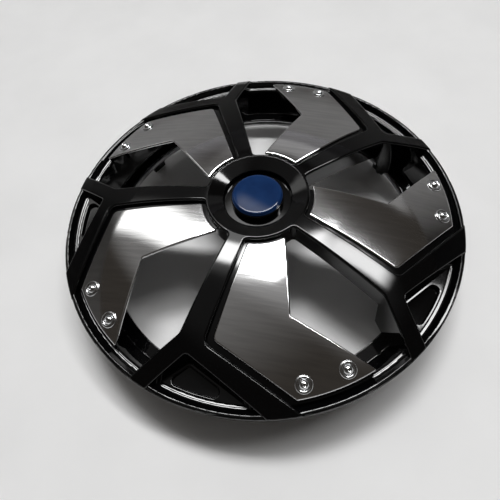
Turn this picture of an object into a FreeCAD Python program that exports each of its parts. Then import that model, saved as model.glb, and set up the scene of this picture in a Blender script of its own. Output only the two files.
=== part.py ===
"""Five-spoke car wheel trim: a moulded cover with bright metal inserts, a badge and a spring wire ring.

Millimetres. The hub axis is Z, the face looks up, and Z = 0 is the surface that the clip legs stand on.
The first spoke points along +Y and the others follow counter-clockwise.
"""
import FreeCAD
import Part
import math
import os

V = FreeCAD.Vector
UP = V(0, 0, 1)

# Overall form
spokes = 5
outer_r = 190.0
wall = 2.5
leg_h = 18.0
rim_drop = 30.0

# Crown of the face: one arc from the hub to the edge, with heights above the widest circle of the rim
crown_arc_r = 350.0
crown_edge_h = 2.0
hub_crest_h = 26.6

# Rim band, the wall inside the windows and the base flange
lip_h = 1.6
lip_skirt = 7.5
lip_w = 3.6
band_w = 7.8
band_fall = 5.5
window_wall_lean = 10.0
flange_w = 12.1
lip_round = 2.0
crest_round = 1.0
gutter_w = 4.4
gutter_round = 4.0
window_edge_round = 3.0
foot_round = 1.5
skirt_round = 0.6
flange_round = 0.8

# Hub
hub_wall_r = 48.5
hub_land = 2.5
dish_r = 32.2
dish_h = 21.6
dish_step = 4.8
dish_draft = 1.2
dish_round = 1.0
boss_r = 24.4
boss_h = 23.3

# Spokes and their forked ends, seen from the front
spoke_root_w = 28.0
spoke_tip_w = 22.0
spoke_depth = 21.0
pocket_length = 37.0
fork_web = 12.0
arm_w = 14.5
arm_angle = 12.2
brace_angle = 31.0
pocket_arm_angle = 14.0
pocket_brace_angle = 33.8
pocket_draft_run = 3.0
pocket_ledge = 2.5
pocket_rim_ledge = 2.0
pan_lap = 0.15
pocket_step = 3.5
pocket_bowl_r = 75.0
pocket_bowl_rise = 4.0
pocket_edge_round = 1.5
pocket_corner_round = 4.0
edge_round = 2.2
fork_round = 7.0
brace_round = 10.0
crotch_round = 4.0
hub_corner_round = 4.0
arm_end_round = 2.2

# Bright inserts and their seats
insert_t = 2.0
insert_sink = 2.2
groove = 4.7
insert_hub_gap = 2.9
insert_overlap = 0.4
insert_tip_deg = 50.5
insert_elbow_r = 118.0
insert_elbow_deg = 34.5
insert_corner_deg = 52.4
insert_corner_round = 1.5
insert_fork_round = 6.0
seat_clearance = 0.15
ledge_w = 14.0
hub_ledge_w = 10.5
shelf_w = 21.0
shelf_t = 2.4
free_edge_setback = 4.0

# Insert screws in finishing washers, two to an insert
screw_inset = 10.0
screw_degs = (33.4, 45.5)
washer_r = 7.1
washer_h = 1.3
washer_t = 0.7
washer_ridge_round = 0.8
screw_head_r = 4.3
screw_head_h = 2.7
screw_shank_r = 2.0
screw_length = 11.0
socket_af = 2.5
socket_depth = 1.4
screw_clearance = 0.2
boss_wall = 2.6
boss_length = 7.0

# Centre badge
badge_margin = 0.9
badge_edge_h = 1.5
badge_dome_h = 1.9

# Clip legs and the spring wire
legs = 10
leg_w = 16.0
leg_t = 3.2
barb = 2.2
nub = 2.6
leg_round = 0.5
wire_d = 4.5
wire_clearance = 0.15
wire_drop = 2.6
wire_inset = 0.05
valve_bend_depth = 12.0
valve_bend_round = 7.0
valve_bend_deg = 18.0

# Radii and heights that follow from the sizes above
step_deg = 360.0 / spokes
flange_top = leg_h + wall
rim_z = flange_top + rim_drop
through = 2 * (rim_z + hub_crest_h)
beyond = outer_r + 3 * lip_w
window_edge_r = outer_r - lip_w - band_w
flange_r = window_edge_r - window_wall_lean - flange_w
hub_crest_r = hub_wall_r - hub_land
dish_floor_r = dish_r - dish_draft
crotch_r = outer_r - pocket_length
fork_r = crotch_r - fork_web
arm_line_r = crotch_r - arm_w
pocket_pan_z = rim_z + lip_h - band_fall
pocket_recess_r = window_edge_r - pocket_rim_ledge
insert_inner_r = hub_wall_r + insert_hub_gap
insert_outer_r = window_edge_r + insert_overlap
seat_drop = insert_sink + insert_t + seat_clearance
shelf_outer_r = insert_outer_r + wall / 2
screw_r = insert_outer_r - screw_inset
wire_r = flange_r + wire_inset + wire_d / 2
wire_z = leg_h - wire_drop - wire_d / 2

# The seam of each turned shape lies here, clear of every spoke and arm
seam_deg = step_deg * 5 / 8


def polar(radius, degrees):
    """A point in the plane of the face."""
    return V(radius * math.cos(math.radians(degrees)), radius * math.sin(math.radians(degrees)), 0)


def line(point, degrees):
    """A line in the plane: a point and a direction."""
    return point, polar(1, degrees)


def through_line(start, end):
    """The line from one point to another."""
    return start, (end - start).normalize()


def shifted(one, distance):
    """The line moved to its left by a distance."""
    point, along = one
    return point + V(-along.y, along.x, 0) * distance, along


def turned(one, degrees):
    """The line turned about the hub axis."""
    spin = FreeCAD.Rotation(UP, degrees)
    return spin.multVec(one[0]), spin.multVec(one[1])


def crossing(one, other):
    """Where two lines of the plane meet."""
    p, d = one
    q, e = other
    share = ((q.x - p.x) * e.y - (q.y - p.y) * e.x) / (d.x * e.y - d.y * e.x)
    return p + d * share


def reach(one, radius):
    """Where a line, followed along its direction, leaves a circle about the hub axis."""
    p, d = one
    along = p.dot(d)
    return p + d * (math.sqrt(radius ** 2 - p.dot(p) + along ** 2) - along)


def outline(corners):
    """A closed wire through corners (point, radius), with a tangent arc at each corner that has a radius."""
    stops = []
    for i, (point, radius) in enumerate(corners):
        to_last = (corners[i - 1][0] - point).normalize()
        to_next = (corners[(i + 1) % len(corners)][0] - point).normalize()
        if radius <= 0:
            stops.append((point, None, point))
            continue
        half = to_last.getAngle(to_next) / 2
        middle = (to_last + to_next).normalize()
        trim = radius / math.tan(half)
        nearest = point + middle * (radius / math.sin(half) - radius)
        stops.append((point + to_last * trim, nearest, point + to_next * trim))
    edges = []
    for i, (start, nearest, end) in enumerate(stops):
        if nearest is not None:
            edges.append(Part.Arc(start, nearest, end).toShape())
        following = stops[(i + 1) % len(stops)][0]
        if end.distanceToPoint(following) > 1e-6:
            edges.append(Part.LineSegment(end, following).toShape())
    return Part.Wire(edges)


def prism(wire, bottom, top):
    """A plane outline pulled up between two heights."""
    face = Part.Face(wire)
    face.translate(V(0, 0, bottom))
    return face.extrude(V(0, 0, top - bottom))


def upright(wire):
    """An outline drawn as (radius, height) in the plane, stood up in the XZ plane."""
    stood = wire.copy()
    stood.rotate(V(), V(1, 0, 0), 90)
    return stood


def turned_solid(wire):
    """The solid that an upright outline sweeps about the hub axis."""
    return Part.Face(wire).revolve(V(), UP, 360)


def cylinder(radius):
    """A tall cylinder about the hub axis, for trimming."""
    return Part.makeCylinder(radius, 2 * through, V(0, 0, -through))


def around(shape, count, start=0.0):
    """Copies of a shape spaced evenly about the hub axis."""
    copies = []
    for k in range(count):
        copy = shape.copy()
        copy.rotate(V(), UP, start + 360.0 / count * k)
        copies.append(copy)
    return copies


# Crown arc: the round profile that the spokes, the inserts and their seats share
def crown_centre():
    """Centre of the crown's arc, as a radius and a height, from its two ends and its own radius."""
    inner = V(hub_crest_r, rim_z + hub_crest_h, 0)
    outer = V(outer_r, rim_z + crown_edge_h, 0)
    chord = outer - inner
    down = V(chord.y, -chord.x, 0).normalize()
    return (inner + outer) * 0.5 + down * math.sqrt(crown_arc_r ** 2 - (chord.Length / 2) ** 2)


crown_axis = crown_centre()


def crown(radius):
    """Height of the crown at a radius."""
    return crown_axis.y + math.sqrt(crown_arc_r ** 2 - (radius - crown_axis.x) ** 2)


def crown_slope(radius):
    """Fall of the crown at a radius, in degrees."""
    return math.degrees(math.asin((radius - crown_axis.x) / crown_arc_r))


def crown_edge(start, end, drop):
    """The crown's arc between two radii, lowered by a drop, in the XZ plane."""
    points = [V(r, 0, crown(r) - drop) for r in (start, (start + end) / 2, end)]
    return Part.Arc(*points).toShape()


def polyline(points):
    """Straight edges through (radius, height) points in the XZ plane."""
    stood = [V(r, 0, z) for r, z in points]
    return [Part.LineSegment(a, b).toShape() for a, b in zip(stood, stood[1:])]


def crown_band(inner, outer, drop, thickness):
    """A ring of even height whose top follows the crown, lowered by a drop."""
    edges = [crown_edge(inner, outer, drop)]
    edges += polyline([(outer, crown(outer) - drop), (outer, crown(outer) - drop - thickness)])
    edges.append(crown_edge(outer, inner, drop + thickness))
    edges += polyline([(inner, crown(inner) - drop - thickness), (inner, crown(inner) - drop)])
    return turned_solid(Part.Wire(edges))


# Lines of the front view, for the spoke that points along local X
spoke_taper = math.degrees(math.atan((spoke_root_w - spoke_tip_w) / 2 / (fork_r - hub_wall_r)))
insert_side = line(V(hub_wall_r, spoke_root_w / 2, 0), -spoke_taper)
free_side = line(V(hub_wall_r, -spoke_root_w / 2, 0), spoke_taper)
arm_side = line(V(arm_line_r, 0, 0), 90 - arm_angle)
brace_side = line(crossing(free_side, line(V(fork_r, 0, 0), 90)), -brace_angle)
next_free_side = turned(free_side, step_deg)
next_brace_side = turned(brace_side, step_deg)


def upright_edges(solid, radius):
    """The edges of a solid that stand upright at a radius."""
    found = []
    for edge in solid.Edges:
        ends = [v.Point for v in edge.Vertexes]
        standing = len(ends) == 2 and math.hypot(ends[0].x - ends[1].x, ends[0].y - ends[1].y) < 1e-6
        if standing and abs(math.hypot(ends[0].x, ends[0].y) - radius) < 1e-3:
            found.append(edge)
    return found


def window_tool(grow):
    """The opening between two spokes, its outline moved outwards by grow, clear of the hub wall."""
    side = shifted(insert_side, -grow)
    arm = shifted(arm_side, -grow)
    brace = shifted(next_brace_side, grow)
    free = shifted(next_free_side, grow)
    corners = [
        (side[0] * 0.5, 0),
        (crossing(side, arm), fork_round + grow),
        (reach(arm, beyond), 0),
        (polar(2 * beyond, step_deg / 2 + arm_angle), 0),
        (reach(brace, beyond), 0),
        (crossing(free, brace), brace_round - grow),
        (free[0] * 0.5, 0),
    ]
    hub_r = hub_wall_r - grow
    tool = prism(outline(corners), -through, through).cut(cylinder(hub_r))
    return tool.makeFillet(hub_corner_round + grow, upright_edges(tool, hub_r))


def pocket_outline(grow, height):
    """The pocket between the two arms of a fork, at a height: its walls lean inwards towards the pan."""
    depth = crown(crotch_r) - pocket_pan_z
    lean = pocket_draft_run * (crown(crotch_r) - height) / depth
    arm = shifted(line(V(crotch_r, 0, 0), 90 - pocket_arm_angle), grow - lean)
    brace = shifted(line(V(crotch_r, 0, 0), -pocket_brace_angle), lean - grow)
    corners = [
        (crossing(arm, brace), crotch_round + grow),
        (reach(arm, beyond), 0),
        (polar(2 * beyond, arm_angle), 0),
        (reach(brace, beyond), 0),
    ]
    wire = outline(corners)
    wire.translate(V(0, 0, height))
    return wire


def pocket_bowl(grow):
    """All that lies below the hollow floor of the pockets, a wide arc turned about the hub, lowered by grow."""
    rise = math.radians(pocket_bowl_rise)
    centre = V(window_edge_r, 0, pocket_pan_z - pocket_step)
    centre += V(-math.sin(rise), 0, math.cos(rise)) * pocket_bowl_r
    radius = pocket_bowl_r + grow

    def floor(at):
        return V(at, 0, centre.z - math.sqrt(radius ** 2 - (at - centre.x) ** 2))

    arc = [floor(at) for at in (fork_r, crotch_r, window_edge_r + wall)]
    edges = [Part.Arc(*arc).toShape()]
    edges += polyline([
        (arc[2].x, arc[2].z), (arc[2].x, -2 * through), (arc[0].x, -2 * through), (arc[0].x, arc[0].z),
    ])
    bowl = turned_solid(Part.Wire(edges))
    bowl.rotate(V(), UP, seam_deg)
    return bowl


def pocket_recess(grow):
    """The rounded triangle that is sunk in the pocket's pan, its walls and floor moved outwards by grow."""
    edge_r = pocket_recess_r + grow
    wire = pocket_outline(grow - pocket_ledge, pocket_pan_z)
    wire.translate(V(0, 0, -pocket_pan_z))
    recess = prism(wire, -through, pocket_pan_z + wall).common(cylinder(edge_r))
    recess = recess.makeFillet(pocket_corner_round + grow, upright_edges(recess, edge_r))
    return recess.cut(pocket_bowl(grow))


def pocket_tool(grow):
    """What the pocket takes out of the face, its walls, pan and recess moved outwards by grow."""
    pan_z = pocket_pan_z - grow
    top_z = crown(0) + spoke_depth
    cup = Part.makeLoft([pocket_outline(grow, pan_z), pocket_outline(grow, top_z)], True, True)
    below = pocket_outline(grow, pan_z)
    below.translate(V(0, 0, -pan_z))
    past_pan = prism(below, -through, pan_z + wall).cut(cylinder(window_edge_r + pan_lap))
    return cup.fuse([pocket_recess(grow), past_pan])


def hub_profile(drop, inset):
    """The dish and the badge boss from the axis out to the crest, lowered by a drop."""
    floor_h = dish_h - dish_step
    return [
        (0, rim_z + boss_h - drop),
        (boss_r - inset, rim_z + boss_h - drop),
        (boss_r - inset, rim_z + floor_h - drop),
        (dish_floor_r + inset, rim_z + floor_h - drop),
        (dish_r + inset, rim_z + dish_h - drop),
        (hub_crest_r, crown(hub_crest_r) - drop),
    ]


def face_lump():
    """The face as a solid block: crown on top, dish at the hub, lower edge as deep as the spoke walls."""
    dish = hub_profile(0, 0)
    edges = polyline(dish) + [crown_edge(hub_crest_r, outer_r, 0)]
    edges += polyline([
        (outer_r, crown(outer_r)),
        (outer_r, rim_z - lip_skirt),
        (window_edge_r, rim_z - lip_skirt),
        (window_edge_r - window_wall_lean, flange_top - wall / 2),
        (crotch_r - fork_round, flange_top - wall / 2),
        (fork_r, crown(fork_r) - spoke_depth),
    ])
    edges.append(crown_edge(fork_r, hub_wall_r, spoke_depth))
    hub_low = crown(hub_wall_r) - spoke_depth
    edges += polyline([(hub_wall_r, hub_low), (0, hub_low), dish[0]])
    lump = turned_solid(Part.Wire(edges))
    lump.rotate(V(), UP, seam_deg)
    return lump


def face_hollow():
    """The hollow behind the face: the face lowered by one wall, clear of the walls round each opening."""
    dish = hub_profile(wall, wall)
    lip_in = outer_r - wall
    edges = polyline(dish) + [crown_edge(hub_crest_r, lip_in, wall)]
    edges += polyline([(lip_in, crown(lip_in) - wall), (lip_in, 0), (0, 0), dish[0]])
    hollow = turned_solid(Part.Wire(edges))
    hollow.rotate(V(), UP, seam_deg)
    return hollow.cut(around(window_tool(wall), spokes) + around(pocket_tool(wall), spokes))


def is_crown_edge(solid, edge):
    """Whether an edge bounds the crown of the face, between the hub's crest and the outer circle."""
    points = edge.discretize(7)
    on_top = all(abs(p.z - crown(math.hypot(p.x, p.y))) < 1e-3 for p in points)
    at_end = any(
        all(abs(math.hypot(p.x, p.y) - radius) < 1e-3 for p in points) for radius in (hub_crest_r, outer_r)
    )
    return on_top and not at_end and len(solid.ancestorsOfType(edge, Part.Face)) == 2


def is_recess_edge(solid, edge):
    """Whether an edge is where a pocket's pan drops into its recess."""
    points = edge.discretize(3)
    at_pan = all(abs(p.z - pocket_pan_z) < 1e-3 for p in points)
    within = all(math.hypot(p.x, p.y) < pocket_recess_r + 1e-3 for p in points)
    if not (at_pan and within):
        return False
    beside = [face.BoundBox for face in solid.ancestorsOfType(edge, Part.Face)]
    return any(face.ZMin < pocket_pan_z - wall / 5 and face.ZMax < pocket_pan_z + wall / 5 for face in beside)


def is_dish_edge(edge):
    """Whether an edge is the upper circle of the badge boss, of the dish's step or of the hub's crest."""
    centre = edge.BoundBox.Center
    rings = ((boss_r, boss_h), (dish_r, dish_h), (hub_crest_r, hub_crest_h))
    return any(
        abs(edge.BoundBox.XLength - 2 * radius) < 1e-3 and abs(centre.z - rim_z - height) < 1e-3
        for radius, height in rings
    )


def arm_end_tool():
    """The corner that is taken off where the arms end at the outer circle, leaving a round edge."""
    top = crown(outer_r)
    slope = math.radians(crown_slope(outer_r - arm_end_round))
    centre = V(outer_r - arm_end_round, 0, crown(outer_r - arm_end_round) - arm_end_round / math.cos(slope))
    arc_top = centre + V(math.sin(slope), 0, math.cos(slope)) * arm_end_round
    half = (math.pi / 2 - slope) / 2
    arc_mid = centre + V(math.cos(half), 0, math.sin(half)) * arm_end_round
    arc_low = centre + V(arm_end_round, 0, 0)
    out = V(outer_r + wall, 0, arc_low.z)
    out_top = V(outer_r + wall, 0, top + 2 * wall)
    above = V(arc_top.x, 0, top + 2 * wall)
    edges = [Part.Arc(arc_top, arc_mid, arc_low).toShape()]
    for a, b in ((arc_low, out), (out, out_top), (out_top, above), (above, arc_top)):
        edges.append(Part.LineSegment(a, b).toShape())
    return turned_solid(Part.Wire(edges))


def make_face():
    """Hub, spokes and forks as one moulded shell, with rounded upper edges."""
    block = face_lump().cut(around(window_tool(0), spokes) + around(pocket_tool(0), spokes))
    block = block.makeFillet(edge_round, [e for e in block.Edges if is_crown_edge(block, e)])
    block = block.makeFillet(dish_round, [e for e in block.Edges if is_dish_edge(e)])
    block = block.makeFillet(pocket_edge_round, [e for e in block.Edges if is_recess_edge(block, e)])
    return block.cut(arm_end_tool()).cut(face_hollow())


def make_rim():
    """The round rim: lip, sloping band, flat gutter, window wall and the base flange with the clip legs."""
    crest = V(outer_r - lip_w, rim_z + lip_h, 0)
    edge = V(window_edge_r, rim_z + lip_h - band_fall, 0)
    foot = V(window_edge_r - window_wall_lean, flange_top, 0)
    gutter = edge + V(gutter_w, 0, 0)
    band = through_line(crest, gutter)
    flat = through_line(gutter, edge)
    drop = (edge, (foot - edge).normalize())
    flange_low = line(V(0, leg_h, 0), 0)
    lip_inside = line(V(outer_r - wall, 0, 0), 90)
    corners = [
        (V(outer_r, rim_z - lip_skirt, 0), skirt_round),
        (V(outer_r, rim_z + lip_h, 0), lip_round),
        (crest, crest_round),
        (gutter, gutter_round),
        (edge, window_edge_round),
        (foot, foot_round),
        (V(flange_r, flange_top, 0), flange_round),
        (V(flange_r, leg_h, 0), flange_round),
        (crossing(flange_low, shifted(drop, wall)), foot_round),
        (crossing(shifted(drop, wall), shifted(flat, wall)), 0),
        (crossing(shifted(flat, wall), shifted(band, wall)), 0),
        (crossing(shifted(band, wall), lip_inside), 0),
        (V(outer_r - wall, rim_z - lip_skirt, 0), skirt_round),
    ]
    rim = turned_solid(upright(outline(corners)))
    rim.rotate(V(), UP, seam_deg)
    return rim


# Lines of the insert's outline and of its seat
insert_tip = polar(insert_inner_r, insert_tip_deg)
insert_elbow = polar(insert_elbow_r, insert_elbow_deg)
insert_corner = polar(insert_outer_r, insert_corner_deg)


inner_free_edge = through_line(insert_tip, insert_elbow)
outer_free_edge = through_line(insert_elbow, insert_corner)


def insert_outline():
    """The insert's outline in the plane, open at the hub and at the rim, where two circles end it."""
    side = shifted(insert_side, groove)
    arm = shifted(arm_side, groove)
    return outline([
        (side[0] * 0.5, 0),
        (crossing(side, arm), insert_fork_round),
        (reach(arm, beyond), 0),
        (reach(outer_free_edge, beyond), 0),
        (insert_elbow, insert_corner_round),
        (insert_tip - inner_free_edge[1] * hub_ledge_w, 0),
    ])


def make_insert():
    """A polished plate that follows the crown, with a screw hole over each boss."""
    plate = crown_band(insert_inner_r, insert_outer_r, insert_sink, insert_t)
    plate.rotate(V(), UP, -step_deg / 2)
    plate = plate.common(prism(insert_outline(), -through, through))
    corners = upright_edges(plate, insert_inner_r) + upright_edges(plate, insert_outer_r)
    plate = plate.makeFillet(insert_corner_round, corners)
    return plate.cut([along_screw(screw_bore(), degrees) for degrees in screw_degs])


def screw_bore():
    """The clear way of a screw through the plate and down its boss."""
    bottom = -screw_length - wall
    return Part.makeCylinder(screw_shank_r + screw_clearance, 2 * wall - bottom, V(0, 0, bottom))


def along_screw(shape, degrees):
    """A shape drawn on the Z axis, set on the insert where a screw goes through, square to the plate."""
    placed = shape.copy()
    placed.rotate(V(), V(0, 1, 0), crown_slope(screw_r))
    placed.translate(V(screw_r, 0, crown(screw_r) - insert_sink))
    placed.rotate(V(), UP, degrees)
    return placed


def make_ledge():
    """The sunk seat of one insert: a ledge along the hub, the spoke and the arm, and a shelf at the rim."""
    inside = hub_wall_r - wall
    front = shelf_outer_r - wall
    under = seat_drop + shelf_t
    edges = [crown_edge(inside, shelf_outer_r, seat_drop)]
    edges += polyline([
        (shelf_outer_r, crown(shelf_outer_r) - seat_drop),
        (shelf_outer_r, rim_z - lip_h - wall),
        (front, rim_z - lip_h - 2 * wall),
        (front, crown(front) - under),
    ])
    edges.append(crown_edge(front, inside, under))
    edges += polyline([(inside, crown(inside) - under), (inside, crown(inside) - seat_drop)])
    band = turned_solid(Part.Wire(edges))
    band.rotate(V(), UP, -step_deg / 2)
    return band.common(window_tool(wall / 2)).cut(ledge_opening())


def ledge_opening():
    """What is left open below the insert: all but its ledges, and everything past its free edge."""
    side = shifted(insert_side, ledge_w)
    arm = shifted(arm_side, ledge_w)
    far_corner = polar(2 * beyond, step_deg)
    below = outline([
        (side[0] * 0.5, 0),
        (crossing(side, arm), fork_round),
        (reach(arm, beyond), 0),
        (far_corner, 0),
        (V(0, 0, 0), 0),
    ])
    inner = shifted(inner_free_edge, -free_edge_setback)
    outer = shifted(outer_free_edge, -free_edge_setback)
    past = outline([
        (inner[0] - inner[1] * hub_ledge_w, 0),
        (crossing(inner, outer), 0),
        (reach(outer, beyond), 0),
        (far_corner, 0),
        (polar(hub_wall_r / 2, step_deg), 0),
    ])
    opening = prism(below, -through, through).common(cylinder(screw_r - shelf_w / 2))
    return opening.cut(cylinder(hub_wall_r + hub_ledge_w)).fuse(prism(past, -through, through))


def make_boss():
    """A screw boss under the shelf."""
    boss = Part.makeCylinder(screw_shank_r + screw_clearance + boss_wall, boss_length + shelf_t)
    boss.translate(V(0, 0, -insert_t - seat_clearance - boss_length - shelf_t))
    return boss


def make_leg():
    """A clip leg: an upright tongue with a barb outside, a nub that holds the wire inside, and a gusset."""
    inside = wire_r + wire_d / 2 + wire_clearance
    outside = inside + leg_t
    nub_top = wire_z - wire_d / 2 - wire_clearance
    corners = [
        (V(inside, leg_h + wall / 2, 0), 0),
        (V(inside, nub_top, 0), 0),
        (V(inside - nub, nub_top, 0), leg_round),
        (V(inside - nub, nub_top - nub / 2, 0), leg_round),
        (V(inside, nub_top - 2 * nub, 0), 0),
        (V(inside, 0, 0), 0),
        (V(outside, 0, 0), 0),
        (V(outside + barb, 2 * barb, 0), leg_round),
        (V(outside, 3 * barb, 0), 0),
        (V(outside, leg_h + wall / 2, 0), 0),
    ]
    tongue = Part.Face(upright(outline(corners))).extrude(V(0, leg_w, 0))
    tongue.translate(V(0, -leg_w / 2, 0))
    web = outline([
        (V(outside - wall / 2, leg_h + wall / 2, 0), 0),
        (V(outside - wall / 2, leg_h / 2, 0), 0),
        (V(outside + leg_t, leg_h + wall / 2, 0), 0),
    ])
    gusset = Part.Face(upright(web)).extrude(V(0, wall, 0))
    gusset.translate(V(0, -wall / 2, 0))
    return tongue.fuse(gusset)


def make_cover():
    """The whole moulding: face, rim, insert seats, screw bosses and clip legs in one piece."""
    pieces = [make_rim()] + around(make_ledge(), spokes)
    bores = []
    for degrees in screw_degs:
        pieces += around(along_screw(make_boss(), degrees), spokes)
        bores += around(along_screw(screw_bore(), degrees), spokes)
    pieces += around(make_leg(), legs)
    return make_face().multiFuse(pieces).cut(bores)


def in_place(shape):
    """A shape drawn with the first spoke along X, turned so that this spoke points along Y."""
    placed = shape.copy()
    placed.rotate(V(), UP, 90)
    return placed


def make_badge():
    """The domed badge that is stuck on the hub's boss."""
    radius = boss_r - badge_margin
    base = rim_z + boss_h
    edge = base + badge_edge_h
    dome = math.hypot(radius, badge_dome_h) ** 2 / (2 * badge_dome_h)
    half = math.asin(radius / dome) / 2
    mid = V(dome * math.sin(half), 0, edge + badge_dome_h - dome * (1 - math.cos(half)))
    edges = polyline([(0, base), (radius, base), (radius, edge)])
    edges.append(Part.Arc(V(radius, 0, edge), mid, V(0, 0, edge + badge_dome_h)).toShape())
    edges += polyline([(0, edge + badge_dome_h), (0, base)])
    return turned_solid(Part.Wire(edges))


def make_washer():
    """A finishing washer: a raised rim round the cup that the screw head sits in."""
    hole = screw_shank_r + screw_clearance
    cup = screw_head_r + screw_clearance
    ridge = (cup + washer_r) / 2
    corners = [
        (V(hole, 0, 0), 0),
        (V(washer_r, 0, 0), 0),
        (V(ridge, washer_h, 0), washer_ridge_round),
        (V(cup, washer_t, 0), 0),
        (V(hole, washer_t, 0), 0),
    ]
    return turned_solid(upright(outline(corners)))


def make_screw():
    """A round-headed screw with a hexagon socket, its shank down through the plate into the boss."""
    seat = washer_t
    radius = screw_head_r
    dome = (radius ** 2 + screw_head_h ** 2) / (2 * screw_head_h)
    half = math.asin(radius / dome) / 2
    mid = V(dome * math.sin(half), 0, seat + screw_head_h - dome * (1 - math.cos(half)))
    point = seat - screw_length
    edges = polyline([(0, point), (screw_shank_r, point), (screw_shank_r, seat), (radius, seat)])
    edges.append(Part.Arc(V(radius, 0, seat), mid, V(0, 0, seat + screw_head_h)).toShape())
    edges += polyline([(0, seat + screw_head_h), (0, point)])
    body = turned_solid(Part.Wire(edges))
    corner = socket_af / math.sqrt(3)
    hexagon = Part.makePolygon([polar(corner, 60 * k) for k in range(7)])
    return body.cut(prism(hexagon, seat + screw_head_h - socket_depth, seat + 2 * screw_head_h))


def make_wire():
    """The spring wire: one ring with a bend where it passes the tyre valve."""
    bend = valve_bend_round
    corner_r = wire_r - bend
    tip_r = wire_r - valve_bend_depth + bend
    spread = math.degrees(math.acos((corner_r ** 2 + tip_r ** 2 - 4 * bend ** 2) / (2 * corner_r * tip_r)))
    tip = polar(tip_r, 0)
    left = polar(corner_r, spread)
    right = polar(corner_r, -spread)
    into = (left + tip) * 0.5
    out = (right + tip) * 0.5

    def near(centre, a, b):
        return centre + ((a - centre) + (b - centre)).normalize() * bend

    start = polar(wire_r, spread)
    end = polar(wire_r, -spread)
    edges = [
        Part.Arc(start, polar(wire_r, 180), end).toShape(),
        Part.Arc(end, near(right, end, out), out).toShape(),
        Part.Arc(out, polar(tip_r - bend, 0), into).toShape(),
        Part.Arc(into, near(left, into, start), start).toShape(),
    ]
    path = Part.Wire(edges)
    section = Part.Wire(Part.makeCircle(wire_d / 2, start, polar(1, spread + 90)))
    ring = path.makePipeShell([section], True, True)
    ring.rotate(V(), UP, valve_bend_deg)
    ring.translate(V(0, 0, wire_z))
    return ring


os.makedirs("parts", exist_ok=True)
screws = []
washers = []
for degrees in screw_degs:
    screws += around(along_screw(make_screw(), degrees), spokes)
    washers += around(along_screw(make_washer(), degrees), spokes)
nodes = {
    "cover": make_cover(),
    "spring_wire": make_wire(),
    "insert_screws": Part.makeCompound(screws),
    "finishing_washers": Part.makeCompound(washers),
    "centre_badge": make_badge(),
}
for k, plate in enumerate(around(make_insert(), spokes)):
    nodes["insert_" + str(k + 1)] = plate
for name, shape in nodes.items():
    print(name, shape.isValid(), len(shape.Solids), round(shape.Volume))
    in_place(shape).exportStep("parts/" + name + ".step")
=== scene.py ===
import math

import bmesh
import bpy
import numpy as np
from mathutils import Matrix, Vector
from mathutils.geometry import delaunay_2d_cdt


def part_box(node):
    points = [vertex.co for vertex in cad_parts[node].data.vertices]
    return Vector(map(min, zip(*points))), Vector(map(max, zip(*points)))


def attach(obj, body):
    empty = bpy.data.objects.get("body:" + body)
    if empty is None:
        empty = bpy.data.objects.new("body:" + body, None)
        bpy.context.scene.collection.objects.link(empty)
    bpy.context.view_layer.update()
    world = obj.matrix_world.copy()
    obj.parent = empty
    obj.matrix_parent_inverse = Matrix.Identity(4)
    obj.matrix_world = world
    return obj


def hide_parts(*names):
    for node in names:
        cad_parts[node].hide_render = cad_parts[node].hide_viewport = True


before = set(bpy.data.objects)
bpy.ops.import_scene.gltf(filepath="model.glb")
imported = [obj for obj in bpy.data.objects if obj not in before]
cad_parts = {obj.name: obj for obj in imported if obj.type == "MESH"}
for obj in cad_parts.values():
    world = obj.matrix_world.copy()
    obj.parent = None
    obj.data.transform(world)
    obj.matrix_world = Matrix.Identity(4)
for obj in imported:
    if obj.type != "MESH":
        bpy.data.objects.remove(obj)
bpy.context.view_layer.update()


# Moulded cover
# The trim itself: one injection moulding in gloss black plastic, with rim lip, forked spokes, dished hub,
# window walls, insert seats and clip legs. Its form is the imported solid's, welded and shaded smooth.
crown_arc = 0.350
crest_radius, crest_height = 0.0460, 0.0771
edge_radius, edge_height = 0.1900, 0.0525
on_crown = 2.0e-5
crease_deg = 34.0
edge_round = 0.0022
edge_round_slack_deg = 25.0
edge_round_inner, edge_round_outer = 0.048, 0.186
least_turn = 0.02
pocket_floor_low, pocket_floor_high = 0.0400, 0.0446
pocket_sink_deg = 4.0
plastic_black = (0.0012, 0.0012, 0.0014, 1.0)
plastic_dusty = (0.0040, 0.0040, 0.0042, 1.0)
plastic_roughness = (0.04, 0.08)
plastic_ior = 1.46
dust_span = (0.5, 0.8)
dust_scale, haze_scale, ripple_scale = 1400.0, 28.0, 140.0
ripple_strength, ripple_height = 0.04, 0.0002


def crown_centre():
    """Centre of the arc that the face follows from hub to edge, as a radius and a height."""
    chord = Vector((edge_radius - crest_radius, edge_height - crest_height))
    middle = Vector((edge_radius + crest_radius, edge_height + crest_height)) / 2
    down = Vector((chord.y, -chord.x)).normalized()
    return middle + down * math.sqrt(crown_arc ** 2 - (chord.length / 2) ** 2)


crown_out, crown_up = crown_centre()


def crown_height(radius):
    """Height of the crown at a distance from the hub axis."""
    return crown_up + np.sqrt(crown_arc ** 2 - (radius - crown_out) ** 2)


def crown_normals(points):
    """Directions square to the crown at points on or just below it."""
    radius = np.hypot(points[:, 0], points[:, 1])
    lean = (radius - crown_out) / crown_arc
    out = lean / np.maximum(radius, 1e-9)
    return np.column_stack((points[:, 0] * out, points[:, 1] * out, np.sqrt(1 - lean ** 2)))


def welded(node_name):
    """Points and triangles of a CAD node, with the loose corners of its triangles merged."""
    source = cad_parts[node_name].data
    points = np.empty(len(source.vertices) * 3)
    source.vertices.foreach_get("co", points)
    corners = np.empty(len(source.loops), dtype=np.int32)
    source.loops.foreach_get("vertex_index", corners)
    merged, where = np.unique(np.round(points.reshape(-1, 3), 7), axis=0, return_inverse=True)
    triangles = where.ravel()[corners].reshape(-1, 3)
    whole = np.all(triangles != np.roll(triangles, 1, axis=1), axis=1)
    return merged, triangles[whole]


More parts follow.
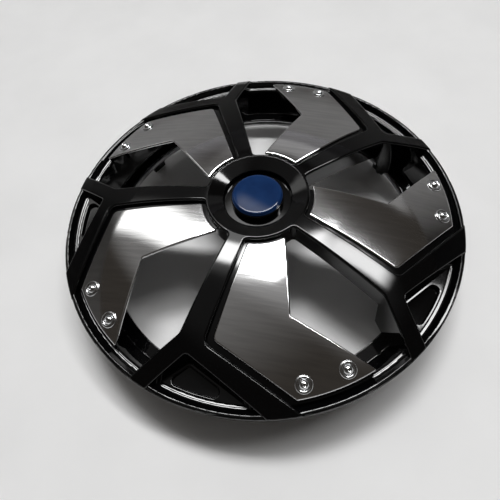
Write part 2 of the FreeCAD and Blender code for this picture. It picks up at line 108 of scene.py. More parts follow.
def corner_normals(points, triangles):
    """Shading directions: each corner averages, by area, the faces there that turn less than the crease."""
    first_side = points[triangles[:, 1]] - points[triangles[:, 0]]
    second_side = points[triangles[:, 2]] - points[triangles[:, 0]]
    by_area = np.cross(first_side, second_side)
    facing = by_area / np.maximum(np.linalg.norm(by_area, axis=1, keepdims=True), 1e-18)
    order = np.argsort(triangles.ravel(), kind="stable")
    point = triangles.ravel()[order]
    face = np.repeat(np.arange(len(triangles)), 3)[order]
    total = by_area[face]
    step = 1
    while True:
        here = np.nonzero(point[:-step] == point[step:])[0]
        if not len(here):
            break
        turn = (facing[face[here]] * facing[face[here + step]]).sum(axis=1)
        here = here[turn > math.cos(math.radians(crease_deg))]
        total[here] += by_area[face[here + step]]
        total[here + step] += by_area[face[here]]
        step += 1
    normals = np.empty_like(total)
    normals[order] = total / np.maximum(np.linalg.norm(total, axis=1, keepdims=True), 1e-18)
    return normals


def shaded_mesh(name, points, faces, normals):
    """A smooth mesh with one given shading direction at each corner of each face."""
    mesh = bpy.data.meshes.new(name)
    mesh.from_pydata(np.asarray(points).tolist(), [], [list(map(int, face)) for face in faces])
    mesh.shade_smooth()
    mesh.normals_split_custom_set(np.asarray(normals).tolist())
    return mesh


def new_finish(name):
    """A new material: itself, its node tree and its main shader."""
    finish = bpy.data.materials.new(name)
    finish.use_nodes = True
    return finish, finish.node_tree, finish.node_tree.nodes["Principled BSDF"]


def add_node(tree, kind, inputs=None, **settings):
    """A node with its settings made and its inputs given a value or linked to another node's output."""
    made = tree.nodes.new(kind)
    for key, value in settings.items():
        setattr(made, key, value)
    for key, value in (inputs or {}).items():
        if isinstance(value, bpy.types.NodeSocket):
            tree.links.new(value, made.inputs[key])
        else:
            made.inputs[key].default_value = value
    return made


def two_tone(tree, amount, low, high, start=0.35, end=0.65):
    """A ramp between two colours, driven by an amount."""
    ramp = add_node(tree, "ShaderNodeValToRGB", {"Fac": amount})
    ramp.color_ramp.elements[0].position = start
    ramp.color_ramp.elements[0].color = low
    ramp.color_ramp.elements[1].position = end
    ramp.color_ramp.elements[1].color = high
    return ramp.outputs["Color"]


def spread(tree, amount, low, high):
    """An amount between 0 and 1 stretched to run from low to high."""
    stretched = add_node(tree, "ShaderNodeMapRange", {"Value": amount, "To Min": low, "To Max": high})
    return stretched.outputs["Result"]


def gloss_black():
    """Polished black moulding: a little dust, handling haze in the gloss and a trace of moulding ripple."""
    finish, tree, shader = new_finish("gloss_black")
    place = add_node(tree, "ShaderNodeTexCoord").outputs["Object"]
    dust = add_node(tree, "ShaderNodeTexNoise", {"Vector": place, "Scale": dust_scale, "Detail": 3.0})
    haze = add_node(tree, "ShaderNodeTexNoise", {"Vector": place, "Scale": haze_scale, "Detail": 5.0})
    ripple = add_node(tree, "ShaderNodeTexNoise", {"Vector": place, "Scale": ripple_scale, "Detail": 1.0})
    plastic = two_tone(tree, dust.outputs["Fac"], plastic_black, plastic_dusty, *dust_span)
    tree.links.new(plastic, shader.inputs["Base Color"])
    tree.links.new(spread(tree, haze.outputs["Fac"], *plastic_roughness), shader.inputs["Roughness"])
    bump = add_node(tree, "ShaderNodeBump", {
        "Height": ripple.outputs["Fac"], "Strength": ripple_strength, "Distance": ripple_height,
    })
    tree.links.new(bump.outputs["Normal"], shader.inputs["Normal"])
    shader.inputs["IOR"].default_value = plastic_ior
    return finish


def add_piece(name, mesh, finish, slot, *nodes):
    """A finished mesh set in the scene as a piece of the trim, in the place of CAD nodes."""
    piece = bpy.data.objects.new(name, mesh)
    bpy.context.scene.collection.objects.link(piece)
    if not mesh.materials:
        mesh.materials.append(finish)
    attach(piece, "root")
    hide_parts(*nodes)


def cover_mesh():
    """The cover's own form, shaded as the true crown and its edge rounds, with a sink in the pockets."""
    points, triangles = welded("cover")
    normals = corner_normals(points, triangles)
    corners = points[triangles.ravel()]
    radius = np.hypot(corners[:, 0], corners[:, 1])
    depth = crown_arc - np.hypot(radius - crown_out, corners[:, 2] - crown_up)
    true = crown_normals(corners)
    along = np.clip((normals * true).sum(axis=1), -1, 1)
    on_top = (np.abs(depth) < on_crown) & (along > math.cos(math.radians(crease_deg)))
    normals[on_top] = true[on_top]

    # On an edge round, the depth below the crown tells how far the surface has turned
    turned = np.clip(1 - depth / edge_round, 0, 1)
    aside = normals - along[:, None] * true
    reach = np.linalg.norm(aside, axis=1)
    on_round = (depth > on_crown) & (depth < edge_round) & (reach > least_turn)
    on_round &= np.abs(np.arccos(along) - np.arccos(turned)) < math.radians(edge_round_slack_deg)
    on_round &= (radius > edge_round_inner) & (radius < edge_round_outer)
    outwards = aside / np.maximum(reach, 1e-9)[:, None] * np.sqrt(1 - turned ** 2)[:, None]
    normals[on_round] = (true * turned[:, None] + outwards)[on_round]

    # The pockets' floors are shaded as if they leaned a little round the hub, which keeps them dark
    in_pocket = (corners[:, 2] > pocket_floor_low) & (corners[:, 2] < pocket_floor_high)
    in_pocket &= normals[:, 2] > math.cos(math.radians(crease_deg / 2))
    round_hub = np.column_stack((-corners[:, 1], corners[:, 0], np.zeros(len(corners))))[in_pocket]
    round_hub /= np.linalg.norm(round_hub, axis=1, keepdims=True)
    normals[in_pocket] += round_hub * math.tan(math.radians(pocket_sink_deg))
    normals[in_pocket] /= np.linalg.norm(normals[in_pocket], axis=1, keepdims=True)
    return shaded_mesh("moulded_cover", points, triangles, normals)


add_piece("moulded_cover", cover_mesh(), gloss_black(), "gloss_black", "cover")


# Spring wire ring
# A ring of drawn spring steel, bent inwards once to pass the tyre valve. It lies inside the clip legs,
# under their nubs, and presses them outwards into the wheel.
wire_dark = (0.34, 0.34, 0.35, 1.0)
wire_bright = (0.60, 0.60, 0.61, 1.0)
wire_roughness = (0.18, 0.42)
drawn_line_scale, stain_scale = 5200.0, 60.0
drawn_line_strength, drawn_line_height = 0.15, 0.0001


def drawn_steel():
    """Bare drawn wire: fine lines along the ring, from how far each lies from the axis."""
    finish, tree, shader = new_finish("drawn_steel")
    place = add_node(tree, "ShaderNodeTexCoord").outputs["Object"]
    flat = add_node(tree, "ShaderNodeVectorMath", {0: place, 1: (1.0, 1.0, 0.0)}, operation="MULTIPLY")
    out = add_node(tree, "ShaderNodeVectorMath", {0: flat.outputs["Vector"]}, operation="LENGTH")
    height = add_node(tree, "ShaderNodeSeparateXYZ", {"Vector": place})
    section = add_node(tree, "ShaderNodeCombineXYZ", {"X": out.outputs["Value"], "Y": height.outputs["Z"]})
    lines = add_node(tree, "ShaderNodeTexNoise",
                     {"Vector": section.outputs["Vector"], "Scale": drawn_line_scale, "Detail": 2.0})
    stain = add_node(tree, "ShaderNodeTexNoise", {"Vector": place, "Scale": stain_scale, "Detail": 4.0})
    steel = two_tone(tree, stain.outputs["Fac"], wire_dark, wire_bright)
    tree.links.new(steel, shader.inputs["Base Color"])
    tree.links.new(spread(tree, lines.outputs["Fac"], *wire_roughness), shader.inputs["Roughness"])
    bump = add_node(tree, "ShaderNodeBump", {
        "Height": lines.outputs["Fac"], "Strength": drawn_line_strength, "Distance": drawn_line_height,
    })
    tree.links.new(bump.outputs["Normal"], shader.inputs["Normal"])
    shader.inputs["Metallic"].default_value = 1.0
    return finish


wire_points, wire_triangles = welded("spring_wire")
wire_mesh = shaded_mesh("spring_wire_ring", wire_points, wire_triangles,
                        corner_normals(wire_points, wire_triangles))
add_piece("spring_wire_ring", wire_mesh, drawn_steel(), "spring_steel", "spring_wire")


# Bright insert plates
# Five thin plates of polished metal, one beside each spoke, pressed to the curve of the face with their
# edges rolled over. Each lies in a sunk seat and is held by two screws at the rim.
spoke_count = 5
plate_sink = 0.0022
plate_thickness = 0.0020
plate_roll = 0.0016
roll_degs = (0.0, 22.5, 45.0, 67.5, 90.0)
grid_step = 0.004
metal_bright = (0.90, 0.90, 0.905, 1.0)
metal_grey = (0.80, 0.80, 0.81, 1.0)
plate_roughness = (0.05, 0.10)
polish_deg = -25.0
streak_scale = (26.0, 330.0, 26.0)
streak_strength, streak_height = 0.04, 0.0004
line_scale = (60.0, 2600.0, 60.0)
line_strength, line_height = 0.04, 0.0001


def plate_height(radius):
    """Height of a plate's upper face at a distance from the hub axis."""
    return crown_height(radius) - plate_sink


def upper_loops(points, triangles):
    """The closed loops of points that bound a plate's upper face, the outline first, then the holes."""
    drop = np.abs(points[:, 2] - plate_height(np.hypot(points[:, 0], points[:, 1])))
    upper = triangles[np.all(drop[triangles] < on_crown, axis=1)]
    sides = {}
    for a, b, c in upper.tolist():
        sides.update({(a, b): b, (b, c): c, (c, a): a})
    follows = {a: b for a, b in sides if (b, a) not in sides}
    loops = []
    while follows:
        loop = [next(iter(follows))]
        while loop[-1] in follows:
            loop.append(follows.pop(loop[-1]))
        loops.append(points[loop[:-1], :2])
    return sorted(loops, key=len_across, reverse=True)


def len_across(loop):
    """How wide a loop of plane points is, along its diagonal."""
    return float(np.linalg.norm(loop.max(axis=0) - loop.min(axis=0)))


def inward_shift(loop):
    """At each point of a closed loop, the move that sets its sides one unit inwards, and the way out."""
    before = loop - np.roll(loop, 1, axis=0)
    after = np.roll(loop, -1, axis=0) - loop
    left = []
    for side in (before, after):
        side = side / np.linalg.norm(side, axis=1, keepdims=True)
        left.append(np.column_stack((-side[:, 1], side[:, 0])))
    middle = left[0] + left[1]
    middle /= np.linalg.norm(middle, axis=1, keepdims=True)
    return middle / (middle * left[0]).sum(axis=1, keepdims=True), -middle


def grid_inside(loop):
    """Even grid points within a loop's bounds, to carry the curve of a wide face."""
    low, high = loop.min(axis=0), loop.max(axis=0)
    across = np.arange(low[0], high[0], grid_step)
    along = np.arange(low[1], high[1], grid_step)
    return [(x, y) for x in across for y in along]


def filled(loops, extra):
    """Triangles over a plane outline with holes, with extra points taken in, as points and faces."""
    points = []
    edges = []
    for loop in loops:
        start = len(points)
        points += [Vector(point) for point in loop]
        edges += [(start + i, start + (i + 1) % len(loop)) for i in range(len(loop))]
    points += [Vector(point) for point in extra]
    inside_with_holes = 4
    plane, _, faces, _, _, _ = delaunay_2d_cdt(points, edges, [], inside_with_holes, 1e-7)
    return np.array([tuple(point) for point in plane]), [list(face) for face in faces]


def plate_mesh(name, node_name):
    """One plate: its upper face, the rolled edge round it, the holes, the rim wall and the back."""
    loops = upper_loops(*welded(node_name))
    outline, holes = loops[0], loops[1:]
    shift, outward = inward_shift(outline)
    points, faces, normals = [], [], []

    def add_points(plane, height):
        start = len(points)
        points.extend(np.column_stack((plane, height)).tolist())
        return start

    def add_faces(start, many, directions):
        for face in many:
            faces.append([start + i for i in face])
            normals.extend(directions[i] for i in face)

    def add_band(upper, lower, upper_dirs, lower_dirs, count):
        for i in range(count):
            j = (i + 1) % count
            faces.append([upper + i, lower + i, lower + j, upper + j])
            normals.extend((upper_dirs[i], lower_dirs[i], lower_dirs[j], upper_dirs[j]))

    top_plane, top_faces = filled([outline + shift * plate_roll] + holes, grid_inside(outline))
    top_height = plate_height(np.hypot(top_plane[:, 0], top_plane[:, 1]))
    top_dirs = crown_normals(np.column_stack((top_plane, top_height))).tolist()
    add_faces(add_points(top_plane, top_height), top_faces, top_dirs)

    rings = []
    sideways = np.column_stack((outward, np.zeros(len(outline))))
    for degrees in roll_degs:
        over = math.radians(degrees)
        plane = outline + shift * plate_roll * (1 - math.sin(over))
        height = plate_height(np.hypot(plane[:, 0], plane[:, 1])) - plate_roll * (1 - math.cos(over))
        up = crown_normals(np.column_stack((plane, height)))
        directions = up * math.cos(over) + sideways * math.sin(over)
        rings.append((add_points(plane, height), directions.tolist()))
    back_height = plate_height(np.hypot(outline[:, 0], outline[:, 1])) - plate_thickness
    rings.append((add_points(outline, back_height), sideways.tolist()))
    for (upper, upper_dirs), (lower, lower_dirs) in zip(rings, rings[1:]):
        add_band(upper, lower, upper_dirs, lower_dirs, len(outline))

    for hole in holes:
        into = inward_shift(hole)[1]
        walls = np.column_stack((into, np.zeros(len(hole)))).tolist()
        height = plate_height(np.hypot(hole[:, 0], hole[:, 1]))
        upper = add_points(hole, height)
        lower = add_points(hole, height - plate_thickness)
        add_band(upper, lower, walls, walls, len(hole))

    back_plane, back_faces = filled([outline] + holes, [])
    height = plate_height(np.hypot(back_plane[:, 0], back_plane[:, 1])) - plate_thickness
    back_dirs = (-crown_normals(np.column_stack((back_plane, height)))).tolist()
    add_faces(add_points(back_plane, height), [face[::-1] for face in back_faces], back_dirs)

    return shaded_mesh(name, points, faces, normals)


def polished_metal():
    """Mirror-polished sheet: soft streaks of the polishing mop over fine lines in the same direction."""
    finish, tree, shader = new_finish("polished_metal")
    place = add_node(tree, "ShaderNodeTexCoord").outputs["Object"]
    turn = (0.0, 0.0, math.radians(-polish_deg))
    turned = add_node(tree, "ShaderNodeMapping", {"Vector": place, "Rotation": turn}).outputs["Vector"]
    soft = add_node(tree, "ShaderNodeMapping", {"Vector": turned, "Scale": streak_scale})
    streaks = add_node(tree, "ShaderNodeTexNoise",
                       {"Vector": soft.outputs["Vector"], "Scale": 1.0, "Detail": 2.0})
    fine = add_node(tree, "ShaderNodeMapping", {"Vector": turned, "Scale": line_scale})
    lines = add_node(tree, "ShaderNodeTexNoise",
                     {"Vector": fine.outputs["Vector"], "Scale": 1.0, "Detail": 3.0})
    metal = two_tone(tree, streaks.outputs["Fac"], metal_grey, metal_bright)
    tree.links.new(metal, shader.inputs["Base Color"])
    tree.links.new(spread(tree, lines.outputs["Fac"], *plate_roughness), shader.inputs["Roughness"])
    mopped = add_node(tree, "ShaderNodeBump", {
        "Height": streaks.outputs["Fac"], "Strength": streak_strength, "Distance": streak_height,
    })
    brushed = add_node(tree, "ShaderNodeBump", {
        "Height": lines.outputs["Fac"], "Strength": line_strength, "Distance": line_height,
        "Normal": mopped.outputs["Normal"],
    })
    tree.links.new(brushed.outputs["Normal"], shader.inputs["Normal"])
    shader.inputs["Metallic"].default_value = 1.0
    return finish


plate_finish = polished_metal()
for k in range(spoke_count):
    node = "insert_" + str(k + 1)
    plate = plate_mesh("bright_" + node, node)
    add_piece("bright_" + node, plate, plate_finish, "polished_metal", node)


# Finishing washers
# Cup washers turned up from thin plated steel, two to a plate: a raised rolled rim round the cup that the
# screw head sits in. They spread the screws' load on the soft plate.
first_spoke_deg = 90.0
screw_circle = 0.1690
screw_degs = (33.4, 45.5)
washer_radius = 0.0071
washer_hole = 0.0022
washer_cup = 0.0045
washer_height = 0.0013
washer_sheet = 0.0007
washer_foot = 0.0002
rim_step_deg = 15
fastener_segments = 72
washer_seed = 3
plating_bright = (0.78, 0.79, 0.80, 1.0)
plating_worn = (0.55, 0.55, 0.56, 1.0)
plating_roughness = (0.22, 0.10)
wear_span = (0.3, 0.55)
wear_scale, grain_scale = 420.0, 4200.0
grain_strength, grain_height = 0.06, 0.0001


def turned_mesh(name, rings, segments):
    """A mesh of rings about Z, each a radius by angle and a height, closed where a radius is zero."""
    build = bmesh.new()
    loops = []
    for radius, height in rings:
        loop = []
        for i in range(segments):
            angle = 2 * math.pi * i / segments
            reach = radius(angle) if callable(radius) else radius
            loop.append(build.verts.new((reach * math.cos(angle), reach * math.sin(angle), height)))
        loops.append(loop)
    for lower, upper in zip(loops, loops[1:]):
        for i in range(segments):
            j = (i + 1) % segments
            build.faces.new((lower[i], lower[j], upper[j], upper[i]))
    bmesh.ops.remove_doubles(build, verts=build.verts, dist=1e-7)
    bmesh.ops.recalc_face_normals(build, faces=build.faces)
    mesh = bpy.data.meshes.new(name)
    build.to_mesh(mesh)
    build.free()
    mesh.shade_smooth()
    mesh.set_sharp_from_angle(angle=math.radians(crease_deg))
    return mesh


def washer_mesh():
    """One finishing washer, flat side down, with its rim rolled in a round from the foot to the cup."""
    ridge = (washer_radius + washer_cup) / 2
    half_width = (washer_radius - washer_cup) / 2
    rings = [(washer_hole, 0.0), (washer_radius, 0.0), (washer_radius, washer_foot)]
    for degrees in range(0, 181, rim_step_deg):
        turn = math.radians(degrees)
        base = washer_foot if degrees <= 90 else washer_sheet
        rise = washer_height - base
        rings.append((ridge + half_width * math.cos(turn), base + rise * math.sin(turn)))
    rings += [(washer_hole, washer_sheet), (washer_hole, 0.0)]
    return turned_mesh("washer", rings, fastener_segments)


def bright_plating(name):
    """Bright plating on small steel parts: a fine grain, and patches that are worn duller."""
    finish, tree, shader = new_finish(name)
    place = add_node(tree, "ShaderNodeTexCoord").outputs["Object"]
    wear = add_node(tree, "ShaderNodeTexNoise", {"Vector": place, "Scale": wear_scale, "Detail": 5.0})
    grain = add_node(tree, "ShaderNodeTexNoise", {"Vector": place, "Scale": grain_scale, "Detail": 2.0})
    plating = two_tone(tree, wear.outputs["Fac"], plating_worn, plating_bright, *wear_span)
    tree.links.new(plating, shader.inputs["Base Color"])
    tree.links.new(spread(tree, wear.outputs["Fac"], *plating_roughness), shader.inputs["Roughness"])
    bump = add_node(tree, "ShaderNodeBump",
                    {"Height": grain.outputs["Fac"], "Strength": grain_strength, "Distance": grain_height})
    tree.links.new(bump.outputs["Normal"], shader.inputs["Normal"])
    shader.inputs["Metallic"].default_value = 1.0
    return finish


def fastener_tree():
    """Geometry Nodes: a fastener repeated on the screw circle, two beside each spoke, square to the face."""
    tree = bpy.data.node_groups.new("fasteners_on_circle", "GeometryNodeTree")
    panel = tree.interface
    for label, kind in (("Fastener", "NodeSocketObject"), ("Finish", "NodeSocketMaterial"),
                        ("Spokes", "NodeSocketInt"), ("Circle radius", "NodeSocketFloat"),
                        ("Seat height", "NodeSocketFloat"), ("Tilt", "NodeSocketFloat"),
                        ("First spoke", "NodeSocketFloat"), ("Near screw", "NodeSocketFloat"),
                        ("Far screw", "NodeSocketFloat"), ("Seed", "NodeSocketInt")):
        panel.new_socket(label, in_out="INPUT", socket_type=kind)
    panel.new_socket("Geometry", in_out="OUTPUT", socket_type="NodeSocketGeometry")
    given = add_node(tree, "NodeGroupInput").outputs

    def sum_up(operation, first, second):
        return add_node(tree, "ShaderNodeMath", {0: first, 1: second}, operation=operation).outputs[0]

    count = sum_up("MULTIPLY", given["Spokes"], 2.0)
    index = add_node(tree, "GeometryNodeInputIndex").outputs[0]
    spoke = sum_up("FLOOR", sum_up("DIVIDE", index, 2.0), 0.0)
    which = sum_up("MODULO", index, 2.0)
    apart = sum_up("SUBTRACT", given["Far screw"], given["Near screw"])
    beside = sum_up("ADD", given["Near screw"], sum_up("MULTIPLY", which, apart))
    step = sum_up("DIVIDE", 2 * math.pi, given["Spokes"])
    angle = sum_up("ADD", sum_up("ADD", given["First spoke"], sum_up("MULTIPLY", spoke, step)), beside)
    x = sum_up("MULTIPLY", given["Circle radius"], sum_up("COSINE", angle, 0.0))
    y = sum_up("MULTIPLY", given["Circle radius"], sum_up("SINE", angle, 0.0))
    spot = add_node(tree, "ShaderNodeCombineXYZ", {"X": x, "Y": y, "Z": given["Seat height"]}).outputs[0]
    lean = add_node(tree, "ShaderNodeCombineXYZ", {"Y": given["Tilt"], "Z": angle}).outputs[0]
    square = add_node(tree, "FunctionNodeEulerToRotation", {"Euler": lean}).outputs[0]
    spin = add_node(tree, "FunctionNodeRandomValue", data_type="FLOAT")
    tree.links.new(given["Seed"], spin.inputs["Seed"])
    spin.inputs[3].default_value = 2 * math.pi
    own_turn = add_node(tree, "ShaderNodeCombineXYZ", {"Z": spin.outputs[1]}).outputs[0]
    own = add_node(tree, "FunctionNodeEulerToRotation", {"Euler": own_turn}).outputs[0]
    facing = add_node(tree, "FunctionNodeRotateRotation", {"Rotation": square, "Rotate By": own},
                      rotation_space="LOCAL").outputs[0]
    spots = add_node(tree, "GeometryNodePoints", {"Count": count, "Position": spot}).outputs[0]
    one = add_node(tree, "GeometryNodeObjectInfo", {"Object": given["Fastener"]}).outputs["Geometry"]
    set_down = add_node(tree, "GeometryNodeInstanceOnPoints",
                        {"Points": spots, "Instance": one, "Rotation": facing}).outputs[0]
    solid = add_node(tree, "GeometryNodeRealizeInstances", {"Geometry": set_down}).outputs[0]
    finished = add_node(tree, "GeometryNodeSetMaterial",
                        {"Geometry": solid, "Material": given["Finish"]}).outputs[0]
    add_node(tree, "NodeGroupOutput", {"Geometry": finished})
    return tree


def fasteners(name, one_mesh, finish, seed):
    """All ten of a fastener as one plain mesh, placed by the node tree."""
    collection = bpy.context.scene.collection
    one = bpy.data.objects.new(name + "_one", one_mesh)
    carrier = bpy.data.objects.new(name + "_carrier", bpy.data.meshes.new(name + "_carrier"))
    collection.objects.link(one)
    collection.objects.link(carrier)
    modifier = carrier.modifiers.new("fasteners", "NODES")
    modifier.node_group = fastener_tree()
    values = {
        "Fastener": one,
        "Finish": finish,
        "Spokes": spoke_count,
        "Circle radius": screw_circle,
        "Seat height": float(plate_height(screw_circle)),
        "Tilt": math.asin((screw_circle - crown_out) / crown_arc),
        "First spoke": math.radians(first_spoke_deg),
        "Near screw": math.radians(screw_degs[0]),
        "Far screw": math.radians(screw_degs[1]),
        "Seed": seed,
    }
    for socket in modifier.node_group.interface.items_tree:
        if socket.in_out == "INPUT":
            modifier[socket.identifier] = values[socket.name]
    evaluated = carrier.evaluated_get(bpy.context.evaluated_depsgraph_get())
    mesh = bpy.data.meshes.new_from_object(evaluated)
    mesh.name = name
    bpy.data.objects.remove(carrier)
    bpy.data.objects.remove(one)
    return mesh


washer_plating = bright_plating("washer_plating")
washers = fasteners("finishing_washer_set", washer_mesh(), washer_plating, washer_seed)
add_piece("finishing_washer_set", washers, washer_plating, "plated_steel", "finishing_washers")


# Insert screws
# Round-headed steel screws with a hexagon socket, plated bright. Each goes down through its washer and
# the plate into a boss under the rim shelf.
head_radius = 0.0043
head_height = 0.0027
shank_radius = 0.0020
screw_length = 0.0110
socket_across_flats = 0.0025
socket_depth = 0.0014
socket_lead = 0.00018
socket_dip = 0.0004
head_flat = 0.0002
head_steps = 14
tip_share, tip_chamfer_share = 0.8, 0.3
screw_seed = 11


def hexagon_reach(across_flats):
    """The distance from the middle of a hexagon to its side, by angle."""
    def reach(angle):
        sixth = math.pi / 3
        return across_flats / 2 / math.cos((angle % sixth) - sixth / 2)
    return reach


def screw_mesh():
    """One screw: shank, domed head with a soft lower edge, and a hexagon socket with a small lead-in."""
    dome = (head_radius ** 2 + head_height ** 2) / (2 * head_height)
    centre = washer_sheet + head_height - dome
    tip = washer_sheet - screw_length

    def dome_height(radius):
        return centre + math.sqrt(dome ** 2 - radius ** 2)

    mouth = socket_across_flats / math.sqrt(3) + socket_lead
    rings = [
        (0.0, tip),
        (shank_radius * tip_share, tip),
        (shank_radius, tip + shank_radius * tip_chamfer_share),
        (shank_radius, washer_sheet),
        (head_radius - head_flat, washer_sheet),
        (head_radius, washer_sheet),
    ]
    for k in range(1, head_steps + 1):
        radius = head_radius + (mouth - head_radius) * k / head_steps
        rings.append((radius, dome_height(radius)))
    bottom = dome_height(0) - socket_depth
    hexagon = hexagon_reach(socket_across_flats)
    rings += [(hexagon, dome_height(mouth) - socket_lead), (hexagon, bottom), (0.0, bottom - socket_dip)]
    return turned_mesh("screw", rings, fastener_segments)


screw_plating = bright_plating("screw_plating")
screws = fasteners("insert_screw_set", screw_mesh(), screw_plating, screw_seed)
add_piece("insert_screw_set", screws, screw_plating, "plated_steel", "insert_screws")


# Centre badge
# A round badge with a plain blue face under clear resin, poured so that it stands nearly flat with a tight
# round shoulder. It is stuck on the boss in the hub's dish.
badge_low, badge_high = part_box("centre_badge")
badge_radius = (badge_high.x - badge_low.x) / 2
badge_edge = 0.0015
badge_edge_round = 0.0006
badge_round_degs = (22.5, 45.0, 67.5)
badge_flatness = 44
badge_rings, badge_segments = 36, 128
badge_blue = (0.009, 0.034, 0.115, 1.0)
badge_deep = (0.006, 0.024, 0.088, 1.0)
lacquer_roughness = (0.25, 0.45)
cloud_scale, sparkle_scale = 60.0, 5200.0
resin_roughness = 0.03
resin_ior = 1.32


def badge_mesh():
    """The badge: an upright edge, a small round and the resin over it, flat up to a tight shoulder."""
    edge_top = badge_low.z + badge_edge
    rise = badge_high.z - edge_top
    rings = [(0.0, badge_low.z), (badge_radius, badge_low.z), (badge_radius, edge_top - badge_edge_round)]
    for degrees in badge_round_degs:
        turn = math.radians(degrees)
        rings.append((badge_radius - badge_edge_round * (1 - math.cos(turn)),
                      edge_top - badge_edge_round * (1 - math.sin(turn))))
    for k in range(badge_rings + 1):
        share = math.sqrt(1 - k / badge_rings)
        reach = (badge_radius - badge_edge_round) * share
        rings.append((reach, badge_high.z - rise * share ** badge_flatness))
    return turned_mesh("centre_badge_dome", rings, badge_segments)


def blue_resin():
    """Blue lacquer, faintly clouded and with a fine sparkle, under clear glossy resin."""
    finish, tree, shader = new_finish("blue_resin")
    place = add_node(tree, "ShaderNodeTexCoord").outputs["Object"]
    cloud = add_node(tree, "ShaderNodeTexNoise", {"Vector": place, "Scale": cloud_scale, "Detail": 2.0})
    sparkle = add_node(tree, "ShaderNodeTexNoise", {"Vector": place, "Scale": sparkle_scale, "Detail": 2.0})
    lacquer = two_tone(tree, cloud.outputs["Fac"], badge_deep, badge_blue)
    tree.links.new(lacquer, shader.inputs["Base Color"])
    tree.links.new(spread(tree, sparkle.outputs["Fac"], *lacquer_roughness), shader.inputs["Roughness"])
    shader.inputs["Specular IOR Level"].default_value = 0.0
    shader.inputs["Coat Weight"].default_value = 1.0
    shader.inputs["Coat Roughness"].default_value = resin_roughness
    shader.inputs["Coat IOR"].default_value = resin_ior
    return finish


add_piece("centre_badge_dome", badge_mesh(), blue_resin(), "blue_resin", "centre_badge")


# Floor, light and camera
# A plain pale floor that curves up into a backdrop, soft studio light from panels overhead, and a camera
# that looks down on the trim at the photograph's angle.
floor_reach = 1.3
sweep_round = 0.5
sweep_height = 1.3
sweep_step_deg, sweep_segments = 10, 96
floor_pale = (0.86, 0.86, 0.86, 1.0)
floor_shade = (0.82, 0.82, 0.82, 1.0)
# Painted shade: the swept-up wall turns to this dark colour everywhere but at the back, as if only the back
# were lit
wall_painted_shade = (0.09, 0.085, 0.08, 1.0)
wall_fade_low, wall_fade_high = 0.02, 0.35
back_wall_deg = 18.0
back_wall_start, back_wall_end = 1.3, 0.8
floor_roughness = 0.6
mottle_scale = 9.0


def sweep_mesh():
    """A round floor with its edge swept up into a wall, seen from the inside."""
    rings = [(0.0, 0.0), (floor_reach * 0.5, 0.0), (floor_reach, 0.0)]
    for degrees in range(sweep_step_deg, 91, sweep_step_deg):
        turn = math.radians(degrees)
        rings.append((floor_reach + sweep_round * math.sin(turn), sweep_round * (1 - math.cos(turn))))
    rings.append((floor_reach + sweep_round, sweep_height))
    mesh = turned_mesh("floor_sweep", rings, sweep_segments)
    mesh.flip_normals()
    return mesh


def pale_floor():
    """Matt pale floor with a faint mottle, and painted shade that darkens its swept-up edge everywhere but
    at the back.
    """
    finish, tree, shader = new_finish("pale_floor")
    place = add_node(tree, "ShaderNodeTexCoord").outputs["Object"]
    mottle = add_node(tree, "ShaderNodeTexNoise", {"Vector": place, "Scale": mottle_scale, "Detail": 6.0})
    turned = add_node(tree, "ShaderNodeMapping",
                      {"Vector": place, "Rotation": (0.0, 0.0, math.radians(back_wall_deg))})
    parts = add_node(tree, "ShaderNodeSeparateXYZ", {"Vector": turned.outputs["Vector"]}).outputs
    up = add_node(tree, "ShaderNodeMapRange",
                  {"Value": parts["Z"], "From Min": wall_fade_low, "From Max": wall_fade_high})
    front = add_node(tree, "ShaderNodeMapRange",
                     {"Value": parts["Y"], "From Min": back_wall_start, "From Max": back_wall_end})
    # Painted shade: the wall darkens with height, except towards the back
    painted_shade_share = add_node(tree, "ShaderNodeMath", {0: up.outputs["Result"], 1: front.outputs["Result"]},
                   operation="MULTIPLY")
    pale = two_tone(tree, mottle.outputs["Fac"], floor_shade, floor_pale)
    both = add_node(tree, "ShaderNodeMix", {"Factor": painted_shade_share.outputs[0]}, data_type="RGBA")
    tree.links.new(pale, both.inputs[6])
    both.inputs[7].default_value = wall_painted_shade
    tree.links.new(both.outputs[2], shader.inputs["Base Color"])
    shader.inputs["Roughness"].default_value = floor_roughness
    return finish


floor = bpy.data.objects.new("floor_sweep", sweep_mesh())
bpy.context.scene.collection.objects.link(floor)
floor.data.materials.append(pale_floor())

# Light panels as seen from the trim, laid out on a ceiling one unit up: middle (x, y), half sizes, turn,
# share of each half size that fades out, and light
least_height = 0.03
room_dark = (0.033, 0.029, 0.025)
light_panels = {
    "main_softbox": ((0.120, 0.490), (0.290, 0.125), -22.0, 0.45, (25.0, 25.0, 25.0)),
    "softbox_halo": ((0.085, 0.517), (0.217, 0.184), -49.5, 0.23, (3.0, 3.0, 3.0)),
    "strip_light": ((0.520, 0.222), (0.350, 0.072), -45.7, 0.50, (22.0, 22.0, 22.0)),
    "white_board": ((-0.510, 0.850), (0.950, 0.190), -37.0, 0.66, (1.50, 1.50, 1.47)),
    "board_glow": ((-0.676, 1.197), (1.800, 0.510), -59.0, 0.46, (0.125, 0.125, 0.125)),
    "grey_wall": ((-2.387, 5.454), (6.000, 3.618), -18.0, 0.15, (0.14, 0.14, 0.15)),
    "side_wall": ((0.674, 0.830), (0.720, 0.164), -21.5, 0.39, (0.17, 0.17, 0.17)),
    "ceiling": ((0.285, 0.219), (0.354, 0.826), 34.8, 0.62, (0.17, 0.17, 0.17)),
}


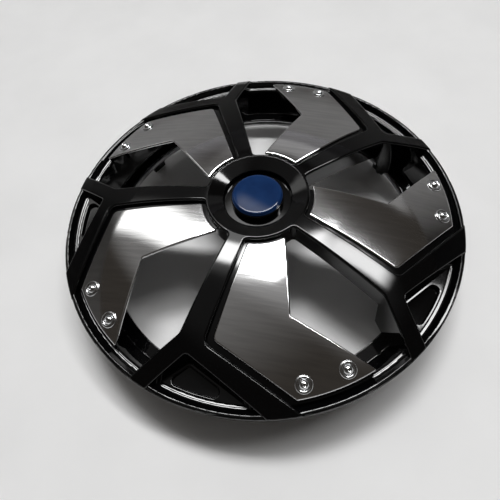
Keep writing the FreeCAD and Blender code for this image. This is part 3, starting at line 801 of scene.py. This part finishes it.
def studio_world():
    """A dark room with soft-edged light panels overhead."""
    world = bpy.data.worlds.new("studio")
    world.use_nodes = True
    tree = world.node_tree
    way = add_node(tree, "ShaderNodeTexCoord").outputs["Generated"]
    parts = add_node(tree, "ShaderNodeSeparateXYZ", {"Vector": way}).outputs
    height = add_node(tree, "ShaderNodeMath", {0: parts["Z"], 1: least_height}, operation="MAXIMUM")
    scale = add_node(tree, "ShaderNodeMath", {0: 1.0, 1: height.outputs[0]}, operation="DIVIDE").outputs[0]
    spot = add_node(tree, "ShaderNodeVectorMath", {0: way, "Scale": scale}, operation="SCALE").outputs[0]
    light = add_node(tree, "ShaderNodeCombineXYZ",
                     {"X": room_dark[0], "Y": room_dark[1], "Z": room_dark[2]}).outputs[0]
    for middle, half, turn_deg, fade, colour in light_panels.values():
        local = add_node(tree, "ShaderNodeMapping", {
            "Vector": spot,
            "Location": (*middle, 0.0),
            "Rotation": (0.0, 0.0, math.radians(turn_deg)),
            "Scale": (*half, 1.0),
        }, vector_type="TEXTURE").outputs[0]
        away = add_node(tree, "ShaderNodeVectorMath", {0: local}, operation="ABSOLUTE").outputs[0]
        sides = add_node(tree, "ShaderNodeSeparateXYZ", {"Vector": away}).outputs
        within = [
            add_node(tree, "ShaderNodeMapRange", {
                "Value": sides[axis], "From Min": 1.0 - fade, "From Max": 1.0, "To Min": 1.0, "To Max": 0.0,
            }, interpolation_type="SMOOTHSTEP").outputs["Result"]
            for axis in ("X", "Y")
        ]
        both = add_node(tree, "ShaderNodeMath", {0: within[0], 1: within[1]}, operation="MULTIPLY")
        share = both.outputs[0]
        glow = add_node(tree, "ShaderNodeVectorMath", {0: colour, "Scale": share}, operation="SCALE")
        total = add_node(tree, "ShaderNodeVectorMath", {0: light, 1: glow.outputs[0]}, operation="ADD")
        light = total.outputs[0]
    tree.links.new(light, tree.nodes["Background"].inputs["Color"])
    return world


bpy.context.scene.world = studio_world()
bpy.context.scene.view_settings.view_transform = "Standard"

camera_place = (-0.038687, -0.217415, 0.364230)
camera_right = (0.96910, -0.23619, -0.07108)
camera_up = (0.24036, 0.83962, 0.48709)
camera_back = (-0.05537, -0.48912, 0.87045)
camera_lens = bpy.data.cameras.new("camera")
camera_lens.sensor_width = 36.0
camera_lens.lens = 28.07
camera = bpy.data.objects.new("camera", camera_lens)
camera.matrix_world = Matrix((camera_right, camera_up, camera_back)).transposed().to_4x4()
camera.location = camera_place
bpy.context.scene.collection.objects.link(camera)
bpy.context.scene.camera = camera
